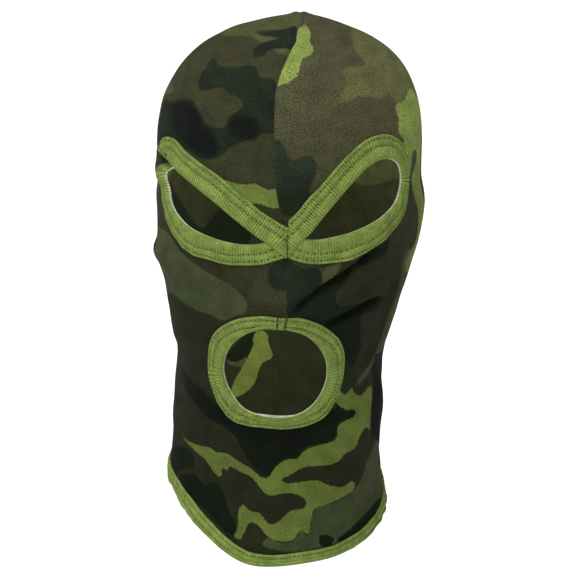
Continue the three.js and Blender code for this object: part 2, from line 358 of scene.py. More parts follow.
def hood_point(azimuth, share, offset):
    """A point that far outside the jersey's outer face, or inside it if offset is negative."""
    azimuth, share, offset = np.broadcast_arrays(azimuth, share, offset)
    shape = azimuth.shape
    azimuth, share, offset = azimuth.ravel(), np.maximum(share.ravel(), 2 * PROBE), offset.ravel()
    down = form_point(azimuth, share + PROBE) - form_point(azimuth, share - PROBE)
    round_it = form_point(azimuth + PROBE, share) - form_point(azimuth - PROBE, share)
    point = form_point(azimuth, share)
    proud = relief(point, np.cos(azimuth) > 0) + offset
    return (point + unit(np.cross(down, round_it)) * proud[:, None]).reshape(*shape, 3)


# ---------------------------------------------------------------- holes and their bindings

# The finished edge of each hole in the front elevation, as (x, z, width of its binding there). An eye's strip
# starts at the long seam, runs out over the eye and comes back under it, and its ends cross at the seam.
EYES = {
    "left_eye": {
        "side": 1,
        "start": (-2, -127, 12.5),
        "hole": [
            (8, -116, 12.5), (13, -111, 13), (23, -98, 13), (34, -85, 13), (43, -76, 13.5), (50, -72.3, 13.5),
            (56, -72.2, 13), (62, -76, 11), (64.7, -83, 8.5), (64, -90, 9), (60.5, -98, 11), (54, -104, 13),
            (46, -108, 14), (35, -111.7, 14), (24, -114, 14), (16, -115, 13.5),
        ],
        "end": [(8, -113.6, 13), (-4, -106.5, 12)],
    },
    "right_eye": {
        "side": -1,
        "start": (2.5, -126.5, 13.5),
        "hole": [
            (-9, -119, 13.5), (-18, -113.6, 13.5), (-29, -106, 13.5), (-41, -97.5, 14), (-52, -91, 14),
            (-61, -86, 13.5), (-68, -82.5, 15), (-71.5, -86, 17.5), (-70.5, -93, 10.5), (-68, -102, 9.5),
            (-63, -109, 12), (-55, -114.5, 14), (-44, -117.7, 13), (-30, -119.6, 12), (-18, -119, 11.5),
        ],
        "end": [(-9, -116, 11.5), (4, -109.5, 12)],
    },
}
MOUTH = [
    (-3, -166, 6.8), (5, -167, 8.4), (13, -170.6, 9.4), (20.6, -178.5, 12), (25.4, -189, 14),
    (25.6, -200, 14.4), (21, -211.5, 12.5), (12.5, -219.6, 8.2), (0, -223.2, 6.4), (-12.5, -222.5, 6.8),
    (-24, -218, 10.6), (-31.2, -208.5, 14), (-34.5, -197, 14.4), (-32.6, -186, 13.8), (-25.8, -174.8, 11.4),
    (-14, -167.5, 8.4),
]
WEAVE = 1.5  # one rib of the binding
RIB_STEPS = 6
PATH_STEP = WEAVE / RIB_STEPS


def flat_path(points):
    points = np.array(points, float)
    return np.column_stack([flatten(points[:, 0], points[:, 1]), points[:, 2]])


def outward(path, inner_point):
    """The unit normals of a path on the flat pattern, on the side away from a point inside the hole."""
    run = np.gradient(path[:, :2], axis=0)
    away = unit(np.column_stack([run[:, 1], -run[:, 0]]))
    middle = len(path) // 2
    return away * np.sign((away[middle] * (path[middle, :2] - inner_point)).sum())


def even_normals(away, span):
    """Normals averaged over a span of neighbours, so that ribs fan out evenly round a corner."""
    box = np.ones(span) / span
    padded = np.vstack([away[:1].repeat(span // 2, 0), away, away[-1:].repeat(span // 2, 0)])
    return unit(np.column_stack([np.convolve(padded[:, k], box, "valid") for k in (0, 1)])[: len(away)])


GIRTH = 2 * np.pi * FLAT_RADIUS


class Rim:
    """A finished edge on the flat pattern. It places points by how far along, away and outside they are."""

    def __init__(self, path, away, closed):
        self.path, self.away, self.closed = path[:, :2], away, closed
        self.width = path[:, 2]
        self.count = len(path)
        self.length = PATH_STEP * self.count

    def nearest_step(self, index):
        return np.clip(np.round(index).astype(int), 0, self.count - 1)

    def points(self, index, distance, offset):
        low = np.floor(index).astype(int)
        part = (index - low)[..., None]
        last = self.count - 1
        a, b = (low % self.count, (low + 1) % self.count) if self.closed else np.clip((low, low + 1), 0, last)
        run = self.path[b] - self.path[a]
        run[..., 0] -= GIRTH * np.round(run[..., 0] / GIRTH)  # where the hem passes the back
        away = self.away[a] * (1 - part) + self.away[b] * part
        flat = self.path[a] + part * run + away * distance[..., None]
        return hood_point(flat[..., 0] / FLAT_RADIUS, share_at(FABRIC - flat[..., 1]), offset)


LAP = 40  # how many steps a closed path is continued at both ends while its normals are evened
CLOSED_SPAN, OPEN_SPAN = 9, 13


def loop_rim(points, closed):
    path = curve(flat_path(points), PATH_STEP, closed)
    middle = path[:, :2].mean(0)
    if closed:
        lapped = np.vstack([path[-LAP:], path, path[:LAP]])
        away = even_normals(outward(lapped, middle), CLOSED_SPAN)[LAP:-LAP]
    else:
        away = even_normals(outward(path, middle), OPEN_SPAN)
    return Rim(path, away, closed)


def hem_rim():
    azimuth = np.linspace(-np.pi, np.pi, round(GIRTH / PATH_STEP), endpoint=False)
    z = FABRIC - hem_depth(azimuth)
    width = through(HEM[:, 0], HEM[:, 2], np.degrees(azimuth))
    slope = np.gradient(z, azimuth * FLAT_RADIUS)
    away = unit(np.column_stack([-slope, np.ones_like(slope)]))
    return Rim(np.column_stack([azimuth * FLAT_RADIUS, z, width]), away, True)


rims = {name: loop_rim([eye["start"], *eye["hole"], *eye["end"]], False) for name, eye in EYES.items()}
rims["mouth"] = loop_rim(MOUTH, True)
rims["hem"] = hem_rim()
hole_loops = [curve(flat_path(eye["hole"])[:, :2], 1, True) for eye in EYES.values()]
hole_loops.append(curve(flat_path(MOUTH)[:, :2], 1, True))

# ---------------------------------------------------------------- meshes

collection = bpy.context.scene.collection


def make_mesh(name, points, faces, attributes=()):
    """A smooth-shaded mesh from millimetre points, with named numbers or vectors on its vertices."""
    mesh = bpy.data.meshes.new(name)
    mesh.from_pydata((np.asarray(points).reshape(-1, 3) * MM).tolist(), [], faces)
    for key, values in dict(attributes).items():
        values = np.asarray(values, np.float32)
        if values.ndim == 1:
            mesh.attributes.new(key, "FLOAT", "POINT").data.foreach_set("value", values)
        else:
            mesh.attributes.new(key, "FLOAT_VECTOR", "POINT").data.foreach_set("vector", values.ravel())
    mesh.shade_smooth()
    return mesh


def add_piece(name, mesh, material, slot, *replaced):
    """Puts a mesh in the scene, on the hood's one body, in place of the CAD nodes that it replaces."""
    piece = bpy.data.objects.new(name, mesh)
    collection.objects.link(piece)
    mesh.materials.append(material)
    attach(piece, "root")
    if replaced:
        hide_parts(*replaced)
    return piece


def tube_faces(rings, sides, closed=False, start=0):
    """The quads of a tube of rings, and its two end caps unless it closes on itself."""
    faces = []
    for i in range(rings if closed else rings - 1):
        a, b = start + i * sides, start + ((i + 1) % rings) * sides
        for j in range(sides):
            k = (j + 1) % sides
            faces.append((a + j, a + k, b + k, b + j))
    if not closed:
        faces.append(tuple(start + j for j in reversed(range(sides))))
        faces.append(tuple(start + (rings - 1) * sides + j for j in range(sides)))
    return faces


def thread_rings(line, radius, sides, closed=False):
    """Circles of points round a line."""
    if closed:
        run = np.roll(line, -1, 0) - np.roll(line, 1, 0)
    else:
        run = np.gradient(line, axis=0)
    run = unit(run)
    helper = np.where(np.abs(run[:, 2:]) < 0.8, [[0.0, 0.0, 1.0]], [[0.0, 1.0, 0.0]])
    first = unit(np.cross(run, helper))
    second = np.cross(run, first)
    angle = np.arange(sides)[:, None] * 2 * np.pi / sides
    radius = np.broadcast_to(radius, len(line))[:, None, None]
    return line[:, None] + radius * (np.cos(angle) * first[:, None] + np.sin(angle) * second[:, None])


# ---------------------------------------------------------------- materials


class Shader:
    """One material's nodes. Its methods give outputs that feed other nodes."""

    def __init__(self, name, **principled):
        self.material = bpy.data.materials.new(name)
        self.material.use_nodes = True
        self.tree = self.material.node_tree
        self.surface = self.tree.nodes["Principled BSDF"]
        for key, value in principled.items():
            self.surface.inputs[key.replace("_", " ")].default_value = value

    def node(self, kind, inputs, **settings):
        made = self.tree.nodes.new(kind)
        for key, value in settings.items():
            setattr(made, key, value)
        for key, value in inputs.items():
            self.feed(made.inputs[key], value)
        return made

    def feed(self, socket, value):
        if isinstance(value, bpy.types.NodeSocket):
            self.tree.links.new(value, socket)
        else:
            socket.default_value = value

    def maths(self, operation, *values):
        return self.node("ShaderNodeMath", dict(enumerate(values)), operation=operation).outputs[0]

    def product(self, first, *others):
        for other in others:
            first = self.maths("MULTIPLY", first, other)
        return first

    def total(self, first, second):
        return self.maths("ADD", first, second)

    def wave(self, turns):
        return self.maths("COSINE", self.product(turns, 2 * math.pi))

    def attribute(self, name, output="Fac"):
        return self.node("ShaderNodeAttribute", {}, attribute_name=name).outputs[output]

    def weave_parts(self):
        return self.node("ShaderNodeSeparateXYZ", {0: self.attribute("weave", "Vector")}).outputs

    def blend(self, share, a, b):
        return self.node("ShaderNodeMix", {0: share, 6: a, 7: b}, data_type="RGBA").outputs[2]

    def noise(self, where, scale, detail=2.0, roughness=0.5):
        inputs = {"Vector": where, "Scale": scale, "Detail": detail, "Roughness": roughness}
        return self.node("ShaderNodeTexNoise", inputs).outputs["Fac"]

    def ramp(self, value, low, high, to_low=0.0, to_high=1.0):
        inputs = {0: value, 1: low, 2: high, 3: to_low, 4: to_high}
        return self.node("ShaderNodeMapRange", inputs, interpolation_type="SMOOTHSTEP").outputs[0]

    def toned(self, colour, tone, lift=0.0):
        """A colour times a tone, plus as much of the pale elastic core as shows between the loops. On the
        jersey's inside the lift also holds the paler reverse and painted light.
        """
        scaled = self.node("ShaderNodeVectorMath", {0: colour, 3: tone}, operation="SCALE").outputs[0]
        core = self.node("ShaderNodeVectorMath", {0: CORE_COLOUR, 3: lift}, operation="SCALE").outputs[0]
        return self.node("ShaderNodeVectorMath", {0: scaled, 1: core}, operation="ADD").outputs[0]

    def paint(self, colour):
        self.feed(self.surface.inputs["Base Color"], colour)
        return self.material

    def bump(self, height, strength, distance):
        made = self.node("ShaderNodeBump", {"Height": height, "Strength": strength, "Distance": distance})
        self.feed(self.surface.inputs["Normal"], made.outputs[0])


WALE, COURSE = 1.15, 0.95  # the width and height of one of the jersey's stitches
WALE_LEAN = 1.3  # how steep the two sides of a stitch are
STITCH_RELIEF, WALE_RELIEF = 0.35, -0.5
STRAIN_PITCH, STRAIN_SLANT, STRAIN_CONTRAST = 1.6, (0.6, 0.8), 0.45  # of the strained lines over the nose


def knit(shader):
    """The height of a plain knit, from the weave coordinate in millimetres: wales of nested V stitches."""
    across, along, _ = shader.weave_parts()
    wale = shader.maths("FRACT", shader.maths("DIVIDE", across, WALE))
    column = shader.maths("ABSOLUTE", shader.maths("SUBTRACT", wale, 0.5))
    lean = shader.product(column, WALE_LEAN)
    stitch = shader.wave(shader.total(shader.maths("DIVIDE", along, COURSE), lean))
    rib = shader.wave(shader.product(column, 2))
    return shader.total(shader.product(stitch, STITCH_RELIEF), shader.product(rib, WALE_RELIEF))


# Each ink as it is printed, as it looks where the jersey is stretched and its pale core shows, and how soft
# its edge is in millimetres. The first is the ground, and each of the others covers the ones before it.
INKS = {
    "brown": ((0.0186, 0.0212, 0.0088), (0.086, 0.085, 0.041), 0),
    "olive": ((0.0515, 0.0650, 0.0260), (0.128, 0.136, 0.050), 0.6),
    "dark": ((0.0054, 0.0090, 0.0036), (0.0310, 0.0430, 0.0265), 0.6),
    "black": ((0.0045, 0.0062, 0.0040), (0.0090, 0.0120, 0.0085), 2.5),
    "lime": ((0.130, 0.170, 0.0350), (0.262, 0.335, 0.082), 0.4),
}
PALE_CORE, CORE_COLOUR = 0.035, (1.0, 1.0, 0.7)
INSIDE_PALE_AND_LIT_TONE, INSIDE_PALE_AND_LIT_LIFT = 1.75, 0.006  # the jersey's inside face is paler than its printed face, and painted lighter still to lift the shade inside the hood


def strain_lines(shader):
    """The tone of the slanting lines where the jersey is strained over the nose."""
    across, along, _ = shader.weave_parts()
    slant = shader.total(shader.product(across, STRAIN_SLANT[0]), shader.product(along, STRAIN_SLANT[1]))
    line = shader.wave(shader.product(slant, 1 / STRAIN_PITCH))
    return shader.total(shader.product(line, shader.attribute("strain"), STRAIN_CONTRAST), 1)


def jersey_material():
    shader = Shader("camouflage_jersey", Roughness=0.95, Specular_IOR_Level=0.08)
    weave = shader.attribute("weave", "Vector")
    stretch = shader.attribute("stretch")
    wobble = shader.ramp(shader.noise(weave, 0.5), 0.25, 0.75, -0.3, 0.3)
    colour = None
    for ink, (printed, stretched, blur) in INKS.items():
        shade = shader.blend(stretch, (*printed, 1), (*stretched, 1))
        if colour is None:
            colour = shade
            continue
        reach = shader.total(shader.attribute(ink), wobble)
        colour = shader.blend(shader.ramp(reach, -blur, blur), colour, shade)
    height = knit(shader)
    inside = shader.attribute("inside")
    mottle = shader.ramp(shader.noise(weave, 0.08, 3.0), 0.3, 0.7, 0.84, 1.16)
    contrast = shader.ramp(stretch, 0, 1, 0.22, 0.5)
    fleck = shader.ramp(shader.noise(weave, 0.85, 3.0, 0.85), 0.34, 0.66, -1.0, 1.0)
    fleck = shader.total(shader.product(fleck, contrast), 1)
    loops = shader.ramp(height, -0.8, 0.8, 0.78, 1.2)
    # The inside face: partly its paler reverse and partly painted light that lifts the shade inside the hood.
    face = shader.ramp(inside, 0, 1, 1, INSIDE_PALE_AND_LIT_TONE)
    tone = shader.product(mottle, fleck, loops, strain_lines(shader), face)
    speck = shader.ramp(shader.noise(weave, 0.95, 2.0, 0.6), 0.56, 0.70, 0, PALE_CORE)
    lift = shader.total(shader.product(speck, stretch), shader.product(inside, INSIDE_PALE_AND_LIT_LIFT))
    shader.bump(height, 0.7, 0.5 * MM)
    return shader.paint(shader.toned(colour, tone, lift))


BINDING = (0.175, 0.240, 0.052)
# The strip's pale back where it turns under, also a painted highlight along the fold.
PALE_BACK_AND_HIGHLIGHT = (0.66, 0.68, 0.52)
THREAD = ((0.10, 0.145, 0.028), (0.20, 0.265, 0.062))  # its darkest and its lightest


def binding_material():
    shader = Shader("lime_binding", Roughness=0.9, Specular_IOR_Level=0.12)
    weave = shader.attribute("weave", "Vector")
    # Where the strip turns under it is pale: partly its pale back, partly a painted highlight on the fold.
    colour = shader.blend(shader.attribute("pale_back_and_highlight"), (*BINDING, 1), (*PALE_BACK_AND_HIGHLIGHT, 1))
    mottle = shader.ramp(shader.noise(weave, 0.16, 3.0), 0.3, 0.7, 0.80, 1.16)
    fleck = shader.ramp(shader.noise(weave, 0.9, 3.0, 0.75), 0.3, 0.7, 0.74, 1.26)
    # Painted shade in the grooves between the ribs and a painted highlight on their crests.
    rib_shade_and_highlight = shader.ramp(shader.attribute("rib"), -1.0, 1.0, 0.66, 1.20)
    # Painted shade: the strip is darkened in its needle holes, along its stitch furrows and at the mouth
    # strip's joins.
    hole = shader.ramp(shader.attribute("hole"), 0, 1, 1, 0.10)
    shader.bump(shader.noise(weave, 1.6, 3.0), 0.5, 0.4 * MM)
    return shader.paint(shader.toned(colour, shader.product(mottle, fleck, rib_shade_and_highlight, hole)))


def thread_material():
    shader = Shader("lime_thread", Roughness=0.75, Sheen_Weight=0.04, Specular_IOR_Level=0.15)
    where = shader.node("ShaderNodeTexCoord", {}).outputs["Object"]
    shade = shader.ramp(shader.noise(where, 0.9 / MM), 0.3, 0.7)
    return shader.paint(shader.blend(shade, *((*colour, 1) for colour in THREAD)))


jersey = jersey_material()
binding = binding_material()
thread = thread_material()

# ---------------------------------------------------------------- the camouflage print

# The print's blotches on the front, by ink and panel, as (x, z) outlines in the elevation; two, marked below,
# are a painted shadow and a painted highlight instead. Those of the left or right panel stop at the long
# seam, where the print doesn't match.
BLOTCHES = {
    ("lime", "left"): [
        [(5, -4.2), (8, -5), (9.4, -8), (8.8, -11), (11, -14), (10.6, -16.6), (8, -18), (5.6, -19.2),
         (4, -21.4), (3.6, -25.2), (2, -28), (-0.8, -30.4), (-8, -33), (-14, -31), (-12, -22), (-8, -14),
         (-3, -10), (0, -6)],
        [(66, -38), (70, -42), (75, -51), (78, -60), (81, -75), (81, -92), (74, -84), (75, -77), (74, -71),
         (72, -71), (71, -79), (70, -84), (67, -75), (63, -68), (65, -64), (61, -58), (61, -52), (59, -47),
         (59, -44), (63, -43)],
        [(75, -81), (81, -92), (81, -113), (80, -128), (78, -145), (70, -142), (72, -130), (75, -125),
         (75, -107), (73, -99), (72, -90), (72, -85)],
    ],
    ("lime", "right"): [
        [(-36, -85), (-29, -86), (-23, -86), (-18, -85), (-15, -87), (-10, -88), (-7, -87), (-5, -93),
         (-4, -97), (-9, -98), (-15, -96), (-21, -96), (-30, -92)],
    ],
    ("lime", "both"): [
        [(-58, -248), (-53, -249), (-47, -249), (-42, -248), (-38, -250), (-31, -249), (-25, -252),
         (-17, -256), (-10, -261), (-6, -261), (-2, -254), (5, -249), (10, -249), (14, -244), (20, -241),
         (29, -239), (32, -237), (33, -229), (36, -227), (42, -225), (42, -221), (37, -220), (31, -213),
         (34, -208), (37, -211), (41, -207), (42, -211), (46, -214), (50, -210), (54, -213), (54, -219),
         (52, -226), (52, -238), (48, -234), (45, -238), (43, -246), (38, -248), (33, -253), (25, -254),
         (15, -254), (6, -259), (1, -263), (7, -264), (15, -263), (22, -263), (30, -267), (37, -269),
         (44, -267), (45, -272), (36, -276), (28, -278), (21, -280), (19, -288), (18, -295), (14, -292),
         (9, -298), (1, -299), (-6, -296), (-11, -290), (-16, -289), (-19, -295), (-21, -299), (-25, -299),
         (-23, -292), (-23, -282), (-20, -279), (-16, -282), (-10, -283), (-5, -289), (1, -287), (7, -281),
         (15, -279), (16, -275), (11, -271), (3, -270), (-5, -272), (-9, -269), (-15, -262), (-23, -259),
         (-29, -257), (-31, -260), (-34, -259), (-35, -265), (-40, -263), (-45, -257), (-52, -253)],
    ],
    ("dark", "left"): [
        [(-10, -61), (-4, -63), (0, -71), (6, -70), (12, -69), (15, -74), (14, -81), (11, -87), (13, -93),
         (5, -101), (-1, -102), (-6, -99), (-9, -91), (-11, -83)],
    ],
    ("dark", "right"): [
        [(-22, -8), (-7, -6), (1, -5), (4, -11), (-1, -15), (-12, -15), (-18, -19), (-22, -19), (-22, -15),
         (-16, -12), (-8, -10), (-18, -9)],
        [(-48, -25), (-45, -22), (-42, -25), (-34, -25), (-21, -24), (-18, -29), (-10, -30), (-8, -38),
         (-9, -57), (-15, -58), (-19, -61), (-26, -63), (-33, -67), (-38, -72), (-43, -74), (-50, -75),
         (-62, -71), (-79, -76), (-80, -67), (-79, -59), (-72, -50), (-66, -49), (-57, -45), (-51, -51),
         (-47, -56), (-38, -57), (-34, -53), (-32, -49), (-27, -45), (-30, -40), (-35, -39), (-39, -36),
         (-52, -39), (-53, -34)],
    ],
    ("dark", "both"): [
        [(-9, -131), (0, -126), (8, -130), (18, -131), (19, -136), (20, -141), (27, -138), (36, -132),
         (45, -126), (51, -121), (58, -118), (56, -126), (48, -130), (39, -132), (34, -139), (28, -146),
         (29, -152), (37, -153), (46, -152), (54, -151), (58, -155), (53, -159), (44, -161), (43, -170),
         (44, -185), (40, -194), (36, -188), (35, -182), (30, -172), (24, -166), (15, -162), (8, -159),
         (2, -158), (1, -148), (0, -143), (-4, -143), (-9, -139)],
        [(-60, -206), (-55, -207), (-50, -212), (-45, -216), (-40, -221), (-28, -226), (-10, -230),
         (5, -229), (24, -222), (35, -216), (37, -220), (42, -221), (42, -225), (33, -228), (30, -238),
         (22, -240), (15, -241), (10, -248), (1, -250), (-6, -260), (-13, -257), (-21, -246), (-25, -238),
         (-32, -232), (-43, -229), (-50, -222), (-57, -216), (-62, -209)],
        [(-60, -273), (-52, -268), (-46, -272), (-38, -269), (-33, -274), (-30, -282), (-25, -290),
         (-24, -298), (-30, -296), (-43, -287), (-55, -280)],
        [(-66, -265), (-60, -255), (-54, -255), (-52, -263), (-58, -267), (-66, -280)],
        [(24, -296), (29, -296), (33, -299), (30, -303), (25, -302)],
        [(52, -190), (62, -196), (60, -229), (62, -254), (56, -245), (53, -227), (55, -213)],
        # Not print: this thin one along the top of the hem's binding is a painted shadow next to the binding.
        [(61, -286), (64, -296), (56, -295), (47, -300), (37, -303), (35, -300), (44, -295), (52, -290)],
    ],
    ("black", "right"): [
        [(-68, -50), (-59, -46), (-52, -50), (-50, -56), (-44, -59), (-40, -67), (-41, -72), (-47, -74),
         (-56, -70), (-65, -65)],
        [(-34, -52), (-27, -50), (-19, -51), (-19, -60), (-26, -62), (-33, -59)],
    ],
    ("black", "both"): [
        [(-50, -210), (-41, -217), (-28, -223), (-10, -230), (11, -230), (14, -239), (0, -240), (-14, -238),
         (-27, -234), (-40, -227), (-47, -221)],
    ],
    ("olive", "left"): [
        [(34, -5), (41, -8), (51, -14), (63, -25), (72, -38), (76, -52), (69, -41), (65, -41), (63, -44),
         (59, -43), (55, -38), (50, -40), (39, -38), (32, -40), (23, -42), (26, -38), (30, -32), (29, -24),
         (41, -22), (36, -16), (33, -10)],
    ],
    ("olive", "right"): [
        [(-45, -12), (-25, -2), (-8, 3), (8, 3), (6, -4), (-7, -6), (-21, -7), (-18, -9), (-9, -10),
         (-18, -12), (-25, -10), (-36, -11)],
        [(-12, -15), (-2, -15), (-4, -18), (-8, -17)],
        [(-74, -65), (-71, -64), (-70, -67), (-79, -77)],
        [(-72, -44), (-69, -40), (-67, -43), (-74, -48)],
    ],
    ("olive", "both"): [
        [(-80, -99), (-77, -95), (-79, -122), (-69, -122), (-60, -130), (-51, -135), (-40, -140),
         (-30, -144), (-23, -150), (-21, -157), (-27, -161), (-35, -165), (-40, -163), (-48, -163),
         (-56, -161), (-64, -158), (-71, -162), (-77, -139)],
        [(20, -132), (30, -128), (27, -135), (21, -140)],
        # Not print: this thin band down the ridge from the ear to the jaw is a painted highlight on that
        # crease, drawn in olive ink.
        [(70, -128), (74, -131), (69.5, -150), (63.5, -170), (59.5, -182), (54, -194), (46.5, -205),
         (43, -206), (50, -193), (56.5, -180), (60.5, -167), (65.5, -148)],
        [(57, -248), (62, -271), (64, -296), (52, -292), (40, -300), (22, -304), (5, -305), (-8, -302),
         (-5, -297), (2, -300), (10, -298), (14, -292), (18, -296), (20, -284), (23, -279), (36, -277),
         (46, -272), (50, -267), (52, -257)],
    ],
}

# The part of the back that shows through the holes, and its blotches, in the same elevation.
BACK_DRAWN = [
    [(-76, -104), (-66, -97), (-52, -100), (-34, -103), (-14, -112), (-2, -124), (-5, -146), (-12, -161),
     (-30, -170), (-52, -165), (-70, -164), (-77, -150), (-74, -128)],
    [(4, -112), (14, -103), (30, -94), (48, -83), (66, -79), (76, -88), (73, -106), (77, -128), (72, -152),
     (50, -163), (26, -166), (10, -162), (6, -138)],
    [(-46, -206), (-30, -196), (-6, -199), (18, -196), (35, -206), (37, -226), (31, -248), (20, -262),
     (-4, -268), (-26, -264), (-42, -256), (-46, -230)],
]
BACK_BLOTCHES = {
    "lime": [
        [(-20, -210), (-17, -206), (-11, -208), (-10, -214), (-7, -222), (-14, -227), (-16, -232),
         (-17, -237), (-22, -244), (-32, -248), (-31, -238), (-27, -230), (-20, -216)],
    ],
    "dark": [
        [(-37, -221), (-27, -210), (-20, -206), (-18, -215), (-24, -222), (-32, -225)],
        [(-74, -108), (-71, -116), (-55, -141), (-48, -135), (-42, -129), (-24, -146), (-30, -157),
         (-55, -155), (-72, -144), (-76, -122)],
    ],
    "olive": [
        [(-36, -222), (-24, -222), (-25, -228), (-35, -226)],
        [(33, -96), (44, -90), (58, -84), (72, -82), (76, -90), (74, -101), (66, -104), (56, -110),
         (42, -111)],
    ],
}

OUTLINE_STEP = 1.2
# Where the drawn print of the front gives way to the random one, as (z, y), and over how wide a band.
SIDE_START = [(-230, 2), (-190, -2), (-150, -24), (-60, -28), (-15, 12)]
SIDE_BAND = 18
# The rest of the print is made from random fields: their spacing, a seed, and the least value that counts.
FIELDS = {"olive": (84, 3, 0.25), "dark": (76, 5, 0.45), "black": (52, 8, 1.15)}
FIELD_DETAIL, DETAIL_FINER, DETAIL_SEED = 0.18, 3.6, 40  # a weaker and finer field is added to each
FIELD_SLOPE = 7  # a field's spacing over this turns its value into a distance
# Lime runs in strands, along the zero lines of one field and only where another is high enough.
LIME_FIELD, LIME_DETAIL, LIME_BREAKS = (96, 21), (24, 23), (66, 22)
LIME_HALF_WIDTH, LIME_DETAIL_SHARE, LIME_BREAK_LEAST, LIME_BREAK_SLOPE = 0.2, 0.14, 0.15, 0.5
TAKEN_IN, TAKEN_IN_FROM = 60, -60  # how much cloth the long seam took out of the print, above this height


def deepest(outlines, points):
    """How far inside any of the outlines each point is."""
    depth = np.full(len(points), -FAR)
    for outline in outlines:
        depth = np.maximum(depth, depth_inside(curve(outline, OUTLINE_STEP, True), points))
    return depth


def random_print(points, side):
    """How far inside each ink's blotches a point of the sides and back lies."""
    taken_in = TAKEN_IN * smoothstep(points[:, 2], -NAPE_DEPTH, TAKEN_IN_FROM)
    shifted = points + (side * taken_in)[:, None] * np.array([1, 0, 0])
    depths = {}
    for ink, (spacing, seed, least) in FIELDS.items():
        detail = waves(shifted, spacing / DETAIL_FINER, seed + DETAIL_SEED)
        value = waves(shifted, spacing, seed) + FIELD_DETAIL * detail
        depths[ink] = (value - least) * spacing / FIELD_SLOPE
    middle = np.abs(waves(shifted, *LIME_FIELD) + LIME_DETAIL_SHARE * waves(shifted, *LIME_DETAIL))
    whole = LIME_BREAK_SLOPE * (waves(shifted, *LIME_BREAKS) - LIME_BREAK_LEAST)
    depths["lime"] = np.minimum(LIME_HALF_WIDTH - middle, whole) * LIME_FIELD[0] / FIELD_SLOPE
    return depths


def print_depths(points, azimuth, side):
    """For each ink, how far inside its blotches each point of the hood lies, in millimetres."""
    elevation = points[:, [0, 2]]
    stops, starts = np.array(SIDE_START).T
    beyond = points[:, 1] - np.interp(points[:, 2], stops, starts)
    share = smoothstep(beyond, 0, SIDE_BAND)
    front, back = share < 1, (share == 1) & (np.abs(azimuth) > np.pi / 2)
    panels = {"left": front & (side > 0), "right": front & (side < 0), "both": front}
    depths = random_print(points, side)
    for ink, depth in depths.items():
        drawn = np.full(len(points), -FAR)
        for panel, chosen in panels.items():
            blotches = deepest(BLOTCHES.get((ink, panel), []), elevation[chosen])
            drawn[chosen] = np.maximum(drawn[chosen], blotches)
        depth[:] = np.clip(drawn * (1 - share) + depth * share, -FAR, FAR)
        elsewhere = np.minimum(depth[back], -deepest(BACK_DRAWN, elevation[back]))
        depth[back] = np.maximum(elsewhere, deepest(BACK_BLOTCHES.get(ink, []), elevation[back]))
    return depths


# ---------------------------------------------------------------- the jersey hood

ROWS, FRONT_COLUMNS, BACK_COLUMNS = 190, 84, 44
FIRST_ROW = 0.006  # its share of the way down; a point closes the crown above it
SEAM_HALF = 0.0045  # azimuth between the middle of a seam and the panel's first column
RAGGED = 1  # how far the grid may reach past the raw edge before its corners are moved onto it
DROP = 390  # how long the jersey is from a share of 0 to 1
# The jersey stretches more and more between two heights, but less on the right side of the forehead, where
# the strips over the eyes take up the strain, and at the brow. Less stretch darkens the print; at the brow
# that darkening is partly a duller lime and partly painted shade.
STRETCH_HEIGHTS = (-160, -25)
RIGHT_SLACK, RIGHT_SLACK_HEIGHTS = 0.52, (-115, -65)
BROW_SLACK_AND_SHADE, BROW_HEIGHT, BROW_HALF_HEIGHT, BROW_REACH = 0.45, -94, 9, 40
# It is also strained over the nose, and on the right of it the strain shows as slanting lines.
BRIDGE_STRETCH, BRIDGE_HEIGHT, BRIDGE_HALF_HEIGHT, BRIDGE_HALF_WIDTH = 0.4, -142, 24, 30
STRAIN_EDGE = (-2, 6)


def hood_grid():
    """Each grid point's azimuth, share and side, and how far its column sways with the long seam."""
    half = np.concatenate([
        np.linspace(SEAM_HALF, np.pi / 2, FRONT_COLUMNS),
        np.linspace(np.pi / 2, np.pi - SEAM_HALF, BACK_COLUMNS)[1:],
    ])
    columns, rows = np.concatenate([-half[::-1], half]), np.linspace(FIRST_ROW, 1, ROWS)
    turn, down = np.meshgrid(columns, rows, indexing="ij")
    share = down * share_at(hem_depth(turn) - EDGE)
    sway = seam_azimuth(share) * (1 + np.cos(turn)) / 2
    return (turn + sway).ravel(), share.ravel(), np.sign(turn).ravel(), sway.ravel()


def cut_holes(azimuth, share):
    """The grid's quads outside the holes. Their corners along each hole are moved onto the raw edge."""
    flat = np.column_stack([azimuth * FLAT_RADIUS, FABRIC - station(DEPTH, share)])
    outside = np.full(len(flat), FAR)
    foot = flat.copy()
    for loop in hole_loops:
        near = close_to(loop, flat, FAR) & (np.abs(azimuth) < np.pi / 2)
        gap, place = nearest(loop, flat[near])
        gap = np.where(within(loop, flat[near]), -gap, gap)
        closer = gap < outside[near]
        chosen = np.flatnonzero(near)[closer]
        outside[chosen], foot[chosen] = gap[closer], place[closer]
    count = len(flat) // ROWS
    i, j = np.meshgrid(np.arange(count), np.arange(ROWS - 1), indexing="ij")
    k = (i + 1) % count
    quads = np.stack([i * ROWS + j, i * ROWS + j + 1, k * ROWS + j + 1, k * ROWS + j], -1).reshape(-1, 4)
    quads = quads[(outside[quads] > EDGE - RAGGED).all(1)]
    uses = np.bincount(quads.ravel(), minlength=len(flat))
    moved = (uses > 0) & (uses < 4) & (outside < FAR)
    away = (flat[moved] - foot[moved]) / outside[moved][:, None]
    trued = foot[moved] + EDGE * away
    azimuth[moved] = trued[:, 0] / FLAT_RADIUS
    share[moved] = share_at(FABRIC - trued[:, 1])
    return quads


